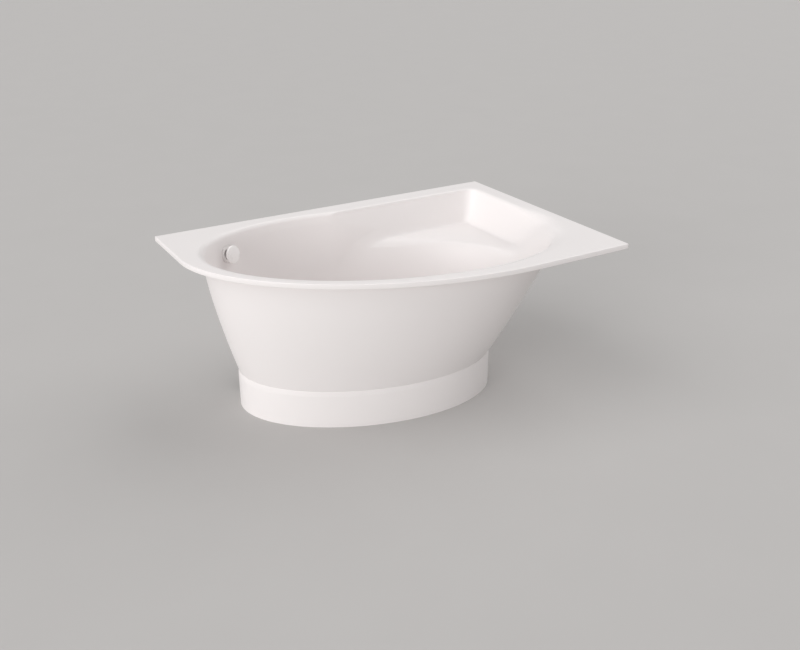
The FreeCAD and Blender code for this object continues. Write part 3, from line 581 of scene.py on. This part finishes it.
def profile_rows(pole, ways, reaches, heights, count):
    reaches, heights = spread_rows(reaches, heights, count)
    plan = pole + ways[:, None, :] * reaches[..., None]
    points = np.concatenate([plan, heights[..., None]], -1)
    return list(points.transpose(1, 0, 2))


def node_points(node):
    mesh = frame["nodes"][node].data
    points = np.empty(3 * len(mesh.vertices))
    mesh.vertices.foreach_get("co", points)
    return points.reshape(-1, 3)


def span(node, origin, axis):
    """Lowest and highest reach of a CAD node along an axis, and its greatest radius round it."""
    points = node_points(node) - np.array(origin)
    along = points @ np.array(axis)
    return along.min(), along.max(), np.linalg.norm(points - np.outer(along, axis), axis=1).max()


def side_ways(axis):
    side = axis.orthogonal().normalized()
    return np.array(side), np.array(axis.cross(side))


def rounded_profile(corners):
    """Points of a profile through (x, y, radius) corners, each rounded with its own radius."""
    points = [np.array(corners[0][:2])]
    for before, corner, after in zip(corners, corners[1:], corners[2:]):
        here, radius = np.array(corner[:2]), corner[2]
        back = np.array(before[:2]) - here
        ahead = np.array(after[:2]) - here
        back = back / np.linalg.norm(back)
        ahead = ahead / np.linalg.norm(ahead)
        half_turn = math.acos(np.clip(back @ ahead, -1, 1)) / 2
        if radius == 0:
            points.append(here)
            continue
        middle = (back + ahead) / np.linalg.norm(back + ahead)
        centre = here + middle * radius / math.sin(half_turn)
        first = here + back * radius / math.tan(half_turn) - centre
        last = here + ahead * radius / math.tan(half_turn) - centre
        for share in np.linspace(0, 1, round_steps):
            way = between(first, last, share)
            points.append(centre + way / np.linalg.norm(way) * radius)
    return points + [np.array(corners[-1][:2])]


def turned_rows(origin, axis, profile, steps):
    """Circles round an axis, one for each (radius, height) of the profile."""
    side, other = side_ways(axis)
    turns = np.linspace(0, 2 * math.pi, steps, endpoint=False)[:, None]
    circle = side * np.cos(turns) + other * np.sin(turns)
    return [np.array(origin) + np.array(axis) * height + circle * radius for radius, height in profile]


def rod(name, origin, axis, radius, low, high, steps):
    return loop_mesh(name, turned_rows(origin, axis, [(radius, low), (radius, high)], steps), True)


def block(name, low, high):
    x, y = (low.x, high.x), (low.y, high.y)
    loop = [(x[0], y[0]), (x[1], y[0]), (x[1], y[1]), (x[0], y[1])]
    return loop_mesh(name, [level_row(np.array(loop), z) for z in (low.z, high.z)], True)


def carve(piece, tool, operation):
    """Cuts a tool from a piece or joins it on, and removes the tool."""
    modifier = piece.modifiers.new(operation.lower(), "BOOLEAN")
    modifier.operation = operation
    modifier.solver = "MANIFOLD"
    modifier.object = tool
    mesh = bpy.data.meshes.new_from_object(piece.evaluated_get(bpy.context.evaluated_depsgraph_get()))
    piece.modifiers.clear()
    piece.data = mesh
    bpy.data.objects.remove(tool)
    finish_shading(mesh)


def stands_for(piece, node):
    """The piece takes the CAD node's place: its body and its material slot."""
    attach(piece, body_of_node[node])
    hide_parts(node)
    piece.data.materials.clear()
    piece.data.materials.append(looks[slot_of_node[node]])


def shell_skin():
    """Bowl, rim and seat in one skin, with the overflow's boss, hole and flat face."""
    skin = loop_mesh("shell_skin", shell_rows(), False)
    overflow = (overflow_place, overflow_out)
    boss = rod("boss", *overflow, overflow_boss_radius, wall / 2, wall + overflow_boss, knob_steps)
    hole = rod("hole", *overflow, overflow_hole_radius, -cut_overrun, cut_overrun, knob_steps)
    face = rod("face", *overflow, overflow_face_radius, -cut_overrun, overflow_face_depth, knob_steps)
    carve(skin, boss, "UNION")
    carve(skin, hole, "DIFFERENCE")
    carve(skin, face, "DIFFERENCE")
    return skin


def plinth_skin():
    """Oval ring with a soft bevel at its top, open at the back left for the pipes."""
    corners = [
        (-foot_wall, plinth_height, 0),
        (plinth_ledge, plinth_height, plinth_edge_radius),
        (plinth_swell, plinth_height - plinth_bevel, plinth_bevel_radius),
        (plinth_toe, ground, plinth_edge_radius),
        (-foot_wall, ground, 0)]
    turns = np.linspace(0, 2 * math.pi, plinth_steps, endpoint=False)
    rows = []
    for step, z in rounded_profile(corners):
        centre, long_half, short_half = oval_size(base_limits - inward * step, base_tilt)
        loop = np.column_stack([long_half * np.cos(turns), short_half * np.sin(turns)])
        rows.append(level_row(centre + turned(loop, base_tilt), z))
    skin = loop_mesh("plinth_skin", rows, False)
    drain = box_centre("drain_flange")
    gap_low = Vector((drain.x - pipe_gap_left, drain.y + chamber_radius, ground - cut_overrun))
    gap_high = Vector((drain.x + pipe_gap_right, back_edge, plinth_height + cut_overrun))
    carve(skin, block("gap", gap_low, gap_high), "DIFFERENCE")
    return skin


def knob_skin():
    """Domed disc with rounded edges on a short hub, turned about the overflow's axis."""
    into_bath = -overflow_out
    low, high, radius = span("overflow_knob", overflow_place, into_bath)
    edge_front = high - knob_dome
    back = edge_front - knob_edge
    corners = [
        (knob_tip_radius, back + knob_socket, 0),
        (knob_socket_radius, back + knob_socket, 0),
        (knob_socket_radius, low, 0),
        (knob_hub_radius, low, 0),
        (knob_hub_radius, back, knob_hub_fillet),
        (radius, back, knob_back_radius),
        (radius, edge_front, knob_front_radius)]
    inner = radius - 2 * knob_front_radius
    dome = [(reach, edge_front + knob_dome * (1 - (reach / radius) ** 2))
            for reach in np.linspace(inner, knob_tip_radius, dome_steps)]
    profile = rounded_profile(corners + [(*dome[0], 0)]) + dome[1:]
    return loop_mesh("knob_skin", turned_rows(overflow_place, into_bath, profile, knob_steps), True)


def hose_route():
    """Start, corner and end of the hose's middle line, from its two nuts and the drain."""
    upper, lower = box_centre("hose_nut_upper"), box_centre("hose_nut_lower")
    level_way = lower - box_centre("drain_flange")
    level_way.z = 0
    level_way.normalize()
    corner = lower + level_way * ((upper - lower).dot(overflow_out) / level_way.dot(overflow_out))
    fall = (corner - upper).normalized()
    return upper - fall * hose_nut_length / 2, corner, lower - level_way * hose_nut_length / 2


def hose_line():
    """Points and headings along the hose's middle line, evenly spread, and the way square to its bend."""
    start, corner, end = hose_route()
    inward_way = (start - corner).normalized()
    outward_way = (end - corner).normalized()
    square = inward_way.cross(outward_way).normalized()
    half_turn = inward_way.angle(outward_way) / 2
    reach = hose_bend_radius / math.tan(half_turn)
    bend = math.pi - 2 * half_turn
    centre = corner + (inward_way + outward_way).normalized() * hose_bend_radius / math.sin(half_turn)
    first_run = (start - corner).length - reach
    arc_run = hose_bend_radius * bend
    whole = first_run + arc_run + (end - corner).length - reach
    stops = np.linspace(0, whole, int(whole / hose_pitch) * hose_rows_per_rib + 1)
    line = []
    for stop in stops:
        if stop < first_run:
            line.append((start - inward_way * stop, -inward_way))
            continue
        turn = Matrix.Rotation(min((stop - first_run) / hose_bend_radius, bend), 3, -square)
        heading = turn @ -inward_way
        on_arc = centre + turn @ (corner + inward_way * reach - centre)
        line.append((on_arc + heading * max(stop - first_run - arc_run, 0), heading))
    return stops, line, square


def hose_skin():
    """Corrugated hose: ribs all along, with a bore that follows them."""
    stops, line, square = hose_line()
    turns = np.linspace(0, 2 * math.pi, hose_steps, endpoint=False)[:, None]
    outside, inside = [], []
    for stop, (place, heading) in zip(stops, line):
        circle = np.array(square) * np.cos(turns) + np.array(heading.cross(square)) * np.sin(turns)
        radius = hose_radius - hose_groove * (1 - math.cos(2 * math.pi * stop / hose_pitch)) / 2
        outside.append(np.array(place) + circle * radius)
        inside.append(np.array(place) + circle * (radius - hose_wall))
    return loop_mesh("hose_skin", outside + inside[::-1], False)


def threaded_stem(node):
    """Rod of a foot with its thread; the crests keep the CAD stem's radius."""
    low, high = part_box(node)
    centre = (low + high) / 2
    radius = (high.x - low.x) / 2
    turns = np.linspace(0, 1, thread_steps, endpoint=False)
    circle = np.column_stack([np.cos(2 * math.pi * turns), np.sin(2 * math.pi * turns)])
    rows = []
    for z in np.arange(low.z, high.z, thread_pitch / thread_rows_per_turn).tolist() + [high.z]:
        wave = np.abs(2 * ((z / thread_pitch - turns) % 1) - 1)
        lead = max(thread_lead_in - min(z - low.z, high.z - z), 0)
        reach = np.minimum(radius - thread_depth * wave, radius - lead)
        rows.append(level_row(np.array(centre.xy) + circle * reach[:, None], z))
    return loop_mesh(node + "_thread", rows, True)


def gripped_nut(node, axis):
    """Copy of a round nut with grooves along its outside for the hand."""
    builder = bmesh.new()
    builder.from_mesh(frame["nodes"][node].data)
    bmesh.ops.remove_doubles(builder, verts=builder.verts, dist=weld_distance)
    points = [vertex.co.copy() for vertex in builder.verts]
    faces = [[vertex.index for vertex in face.verts] for face in builder.faces]
    builder.free()
    nut = new_piece(node + "_grip", points, faces)
    centre = box_centre(node)
    low, high, radius = span(node, centre, axis)
    side, other = side_ways(axis)
    for turn in np.linspace(0, 2 * math.pi, grip_counts[node], endpoint=False):
        place = centre + Vector(side * math.cos(turn) + other * math.sin(turn)) * radius
        carve(nut, rod("groove", place, axis, grip_depth, 2 * low, 2 * high, grip_steps), "DIFFERENCE")
    return nut


# Materials: detail and scale of their patterns, and depth of their skins
cloud_detail = 3
grain_detail = 4
skin_detail = 2
plastic_skin_share = 40
plastic_skin_depth = 0.0002
metal_skin_share = 4
metal_skin_depth = 0.0001


def new_look(name):
    """Procedural material without a pattern yet: its node tree, its shader and its object coordinates."""
    look = bpy.data.materials.new(name)
    look.use_nodes = True
    tree = look.node_tree
    shader = tree.nodes["Principled BSDF"]
    place = tree.nodes.new("ShaderNodeTexCoord").outputs["Object"]
    return look, tree, shader, place


def grain(tree, place, scale, detail):
    texture = tree.nodes.new("ShaderNodeTexNoise")
    texture.inputs["Scale"].default_value = scale
    texture.inputs["Detail"].default_value = detail
    tree.links.new(place, texture.inputs["Vector"])
    return texture.outputs["Fac"]


def cells(tree, place, scale):
    texture = tree.nodes.new("ShaderNodeTexVoronoi")
    texture.inputs["Scale"].default_value = scale
    tree.links.new(place, texture.inputs["Vector"])
    shade = tree.nodes.new("ShaderNodeSeparateColor")
    tree.links.new(texture.outputs["Color"], shade.inputs["Color"])
    return shade.outputs["Red"]


def vary_colour(tree, shader, pattern, first, second):
    mix = tree.nodes.new("ShaderNodeMix")
    mix.data_type = "RGBA"
    mix.inputs["A"].default_value = (*first, 1)
    mix.inputs["B"].default_value = (*second, 1)
    tree.links.new(pattern, mix.inputs["Factor"])
    tree.links.new(mix.outputs["Result"], shader.inputs["Base Color"])


def vary_roughness(tree, shader, pattern, low, high):
    span_node = tree.nodes.new("ShaderNodeMapRange")
    span_node.inputs["To Min"].default_value = low
    span_node.inputs["To Max"].default_value = high
    tree.links.new(pattern, span_node.inputs["Value"])
    tree.links.new(span_node.outputs["Result"], shader.inputs["Roughness"])


def add_bump(tree, shader, pattern, strength, depth):
    bump = tree.nodes.new("ShaderNodeBump")
    bump.inputs["Strength"].default_value = strength
    bump.inputs["Distance"].default_value = depth
    tree.links.new(pattern, bump.inputs["Height"])
    tree.links.new(bump.outputs["Normal"], shader.inputs["Normal"])


def plastic_look(name, first, second, roughness, scale, bump):
    """Moulded or cast material: faint clouds of colour, uneven gloss and a fine skin."""
    look, tree, shader, place = new_look(name)
    clouds = grain(tree, place, scale, cloud_detail)
    vary_colour(tree, shader, clouds, first, second)
    vary_roughness(tree, shader, clouds, *roughness)
    skin = grain(tree, place, plastic_skin_share * scale, skin_detail)
    add_bump(tree, shader, skin, bump, plastic_skin_depth)
    return look


def metal_look(name, first, second, roughness, scale, bump, pattern_of):
    look, tree, shader, place = new_look(name)
    shader.inputs["Metallic"].default_value = 1
    pattern = pattern_of(tree, place, scale)
    vary_colour(tree, shader, pattern, first, second)
    vary_roughness(tree, shader, pattern, *roughness)
    skin = grain(tree, place, metal_skin_share * scale, skin_detail)
    add_bump(tree, shader, skin, bump, metal_skin_depth)
    return look


def fine_grain(tree, place, scale):
    return grain(tree, place, scale, grain_detail)


# Two colours, range of roughness, pattern scale and bump strength of each look
plastic_looks = {
    "cast_mineral": ((0.868, 0.828, 0.818), (0.883, 0.843, 0.835), (0.32, 0.40), 5, 0.02),
    "white_plastic": ((0.965, 0.938, 0.926), (0.978, 0.953, 0.942), (0.24, 0.32), 30, 0.02),
    "pipe_plastic": ((0.66, 0.66, 0.65), (0.72, 0.72, 0.71), (0.38, 0.50), 25, 0.05),
    "hose_plastic": ((0.55, 0.55, 0.54), (0.62, 0.62, 0.61), (0.40, 0.52), 25, 0.05),
    "dark_plastic": ((0.035, 0.036, 0.038), (0.05, 0.05, 0.052), (0.42, 0.56), 35, 0.10),
    "rubber": ((0.018, 0.018, 0.018), (0.032, 0.031, 0.03), (0.66, 0.80), 40, 0.15)}
metal_looks = {
    "polished_steel": ((0.70, 0.70, 0.71), (0.78, 0.78, 0.78), (0.10, 0.18), 60, 0.02, fine_grain),
    "zinc_steel": ((0.52, 0.54, 0.56), (0.68, 0.69, 0.70), (0.30, 0.46), 90, 0.05, cells),
    "brass": ((0.66, 0.48, 0.22), (0.74, 0.56, 0.28), (0.22, 0.34), 80, 0.04, fine_grain)}
looks = {slot: plastic_look(slot + "_look", *values) for slot, values in plastic_looks.items()}
looks.update({slot: metal_look(slot + "_look", *values) for slot, values in metal_looks.items()})
slot_of_node = {part["node"]: part["material_slot"] for part in frame["record"]["subparts"]}
bodies = frame["record"]["behaviour"]["bodies"]
body_of_node = {node: body for body, members in bodies.items() for node in members}
for name, node in frame["nodes"].items():
    node.data.materials.clear()
    node.data.materials.append(looks[slot_of_node[name]])

stands_for(shell_skin(), "bath_shell")
stands_for(plinth_skin(), "plinth_ring")
stands_for(knob_skin(), "overflow_knob")
stands_for(hose_skin(), "overflow_hose")
for number in foot_numbers:
    stands_for(threaded_stem(f"foot_stem_{number}"), f"foot_stem_{number}")
hose_start, hose_corner, hose_end = hose_route()
nut_axes = {
    "trap_nut": Vector((0, 0, 1)),
    "outlet_nut": Vector((0, 1, 0)),
    "hose_nut_upper": (hose_corner - hose_start).normalized(),
    "hose_nut_lower": (hose_corner - hose_end).normalized()}
for node, axis in nut_axes.items():
    stands_for(gripped_nut(node, axis), node)

# Floor
floor_half = 30.0
floor_values = ((0.50, 0.485, 0.475), (0.52, 0.505, 0.495), (0.85, 0.95), 3, 0.05)
floor_corners = [(-floor_half, -floor_half, 0), (floor_half, -floor_half, 0), (floor_half, floor_half, 0),
                 (-floor_half, floor_half, 0)]
floor_mesh = bpy.data.meshes.new("floor")
floor_mesh.from_pydata(floor_corners, [], [(0, 1, 2, 3)])
floor = bpy.data.objects.new("floor", floor_mesh)
bpy.context.scene.collection.objects.link(floor)
floor_mesh.materials.append(plastic_look("floor_look", *floor_values))

# Light: direction that each lamp shines from, its spread in degrees and its strength
world_colour = (1, 1, 1, 1)
world_strength = 0.46
lamps = {
    "key": ((-3.2, 0.2, 3.7), 50, 0.88),
    "fill": ((-4.2, -2.1, 0.45), 40, 2.05),
    "bounce": ((3.4, 0.3, 3.6), 60, 0.95)}
world = bpy.data.worlds.new("studio")
bpy.context.scene.world = world
world.use_nodes = True
background = world.node_tree.nodes["Background"]
background.inputs["Color"].default_value = world_colour
background.inputs["Strength"].default_value = world_strength


def sun_light(name, direction, spread, strength):
    """Even soft light from a direction, as from a large lamp far away."""
    light = bpy.data.lights.new(name, "SUN")
    light.angle = math.radians(spread)
    light.energy = strength
    lamp = bpy.data.objects.new(name, light)
    lamp.rotation_euler = (-Vector(direction)).to_track_quat("-Z", "Y").to_euler()
    bpy.context.scene.collection.objects.link(lamp)


for name, values in lamps.items():
    sun_light(name, *values)

# Camera
camera = bpy.data.objects.new("camera", bpy.data.cameras.new("camera"))
bpy.context.scene.collection.objects.link(camera)
camera.data.sensor_fit = "HORIZONTAL"
camera.data.sensor_width = sensor_width
camera.data.lens = focal_pixels / image_width * sensor_width
camera.location = camera_place
yaw, pitch = math.radians(camera_yaw), math.radians(camera_pitch)
look_way = Vector((math.sin(yaw) * math.cos(pitch), math.cos(yaw) * math.cos(pitch), -math.sin(pitch)))
camera.rotation_euler = look_way.to_track_quat("-Z", "Y").to_euler()
bpy.context.scene.camera = camera
bpy.context.scene.view_settings.view_transform = "Standard"
